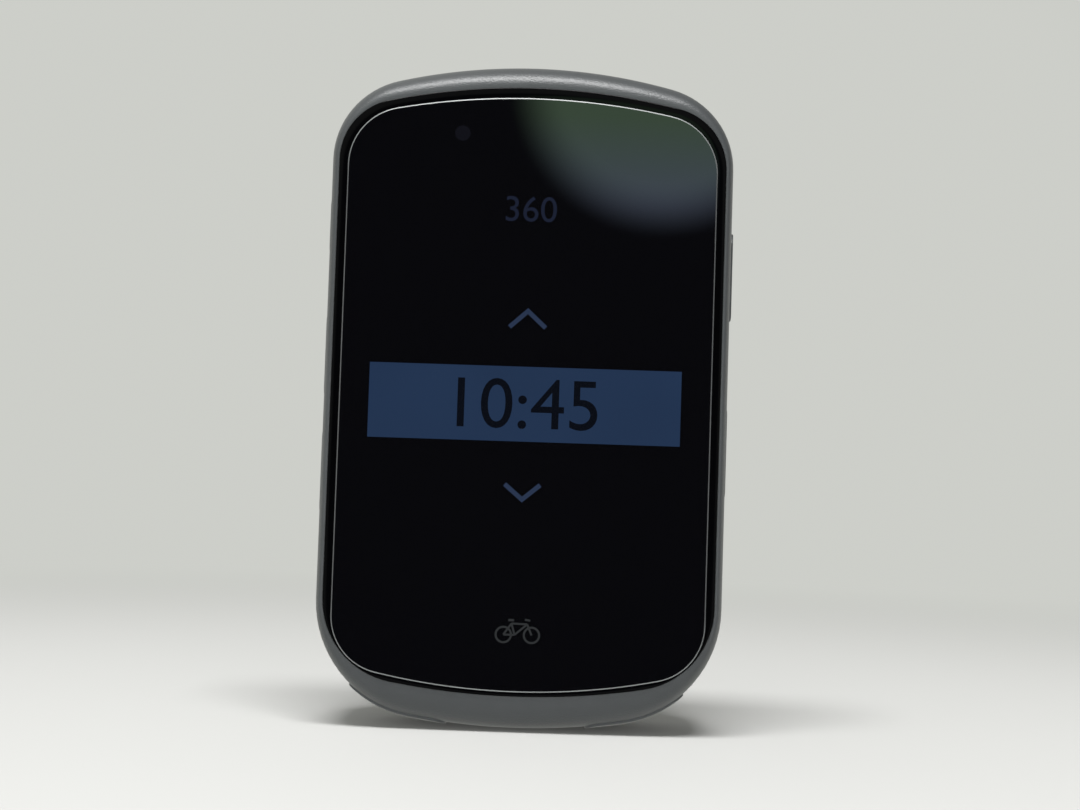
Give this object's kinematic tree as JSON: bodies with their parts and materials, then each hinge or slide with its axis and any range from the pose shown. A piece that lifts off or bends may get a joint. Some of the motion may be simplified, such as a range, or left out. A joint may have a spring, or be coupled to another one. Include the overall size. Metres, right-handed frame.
{
  "type": "cycling computer",
  "caption": "Handlebar cycling computer in a barrel-shaped case with a black glass window, buttons round its edge, a charging socket cap and a quarter-turn bayonet on its back.",
  "frame": {"origin": "centre of the end face of the quarter-turn bayonet on the back, where the bracket's floor meets it", "axes": "+Z towards the top edge of the case, +Y out of the back towards the bracket (the glass faces -Y), +X to the right of a reader who faces the glass"},
  "size_m": [0.0504, 0.02, 0.0822],
  "materials": {
    "housing_grey": "satin moulded plastic, fine spark texture",
    "cover_black": "matt moulded plastic",
    "mount_black": "matt glass-filled nylon",
    "button_grey": "satin moulded plastic",
    "gloss_black": "polished black",
    "lens": "polished cover glass with a black printed border",
    "display": "liquid crystal panel",
    "light_guide": "clear light guide",
    "clear_plastic": "clear acrylic",
    "steel": "thin sheet",
    "screw_steel": "black zinc plated",
    "foam": "black foam",
    "flex": "polyimide film",
    "chip": "moulded epoxy",
    "frame_plastic": "moulded plastic",
    "board": "solder resist",
    "ceramic": "sintered",
    "connector": "moulded nylon",
    "membrane": "porous film",
    "battery_foil": "laminate pouch",
    "tape": "adhesive tape",
    "wire": "insulated wire",
    "silicone": "silicone rubber",
    "rubber_black": "matt rubber"
  },
  "bodies": {
    "case": {"front_housing": "housing_grey", "rear_cover": "cover_black", "inner_bezel": "gloss_black", "lens_glass": "lens", "lens_adhesive": "tape", "perimeter_seal": "silicone", "quarter_turn_mount": "mount_black", "display_panel": "display", "backlight": "light_guide", "display_frame": "steel", "display_foam": "foam", "display_flex": "flex", "light_sensor": "chip", "light_pipe": "clear_plastic", "mid_frame": "frame_plastic", "main_board": "board", "cpu_shield": "steel", "processor": "chip", "rf_shield": "steel", "rf_module": "chip", "gps_antenna": "ceramic", "wireless_antenna": "ceramic", "display_connector": "connector", "beeper": "chip", "pressure_sensor": "steel", "vent_membrane": "membrane", "battery": "battery_foil", "battery_tape": "tape", "battery_lead": "wire", "battery_connector": "connector", "usb_socket": "steel", "usb_seal": "silicone", "usb_cap_anchor": "rubber_black", "case_screws": "screw_steel", "board_screws": "screw_steel", "frame_screws": "screw_steel", "mount_screws": "screw_steel", "left_key_seal": "silicone", "left_key_domes": "steel", "left_key_flex": "flex", "left_key_bracket": "steel", "right_key_seal": "silicone", "right_key_domes": "steel", "right_key_flex": "flex", "right_key_bracket": "steel", "bottom_key_seal": "silicone", "bottom_key_domes": "steel", "bottom_key_flex": "flex", "bottom_key_bracket": "steel"},
    "power_button_body": {"power_button": "button_grey"},
    "up_button_body": {"up_button": "button_grey"},
    "down_button_body": {"down_button": "button_grey"},
    "enter_button_body": {"enter_button": "button_grey"},
    "back_button_body": {"back_button": "button_grey"},
    "lap_button_body": {"lap_button": "button_grey"},
    "start_button_body": {"start_button": "button_grey"},
    "usb_cap_body": {"usb_cap": "rubber_black"}
  },
  "joints": [
    {"name": "power_press", "type": "slide", "parent": "case", "child": "power_button_body", "axis": [1, 0, 0], "range_m": [0, 0.0003], "stiffness_N_per_m": 800},
    {"name": "up_press", "type": "slide", "parent": "case", "child": "up_button_body", "axis": [1, 0, 0], "range_m": [0, 0.0003], "stiffness_N_per_m": 800},
    {"name": "down_press", "type": "slide", "parent": "case", "child": "down_button_body", "axis": [1, 0, 0], "range_m": [0, 0.0003], "stiffness_N_per_m": 800},
    {"name": "enter_press", "type": "slide", "parent": "case", "child": "enter_button_body", "axis": [-1, 0, 0], "range_m": [0, 0.0003], "stiffness_N_per_m": 800},
    {"name": "back_press", "type": "slide", "parent": "case", "child": "back_button_body", "axis": [-1, 0, 0], "range_m": [0, 0.0003], "stiffness_N_per_m": 800},
    {"name": "lap_press", "type": "slide", "parent": "case", "child": "lap_button_body", "axis": [0.3706, 0, 0.9288], "range_m": [0, 0.0003], "stiffness_N_per_m": 800},
    {"name": "start_press", "type": "slide", "parent": "case", "child": "start_button_body", "axis": [-0.3706, 0, 0.9288], "range_m": [0, 0.0003], "stiffness_N_per_m": 800},
    {"name": "usb_cap_hinge", "type": "hinge", "parent": "case", "child": "usb_cap_body", "pos_m": [0, -0.00665, -0.04555], "axis": [1, 0, 0], "range_deg": [0, 110], "stiffness_Nm_per_rad": 0.00005, "springref_deg": -28.65}
  ]
}
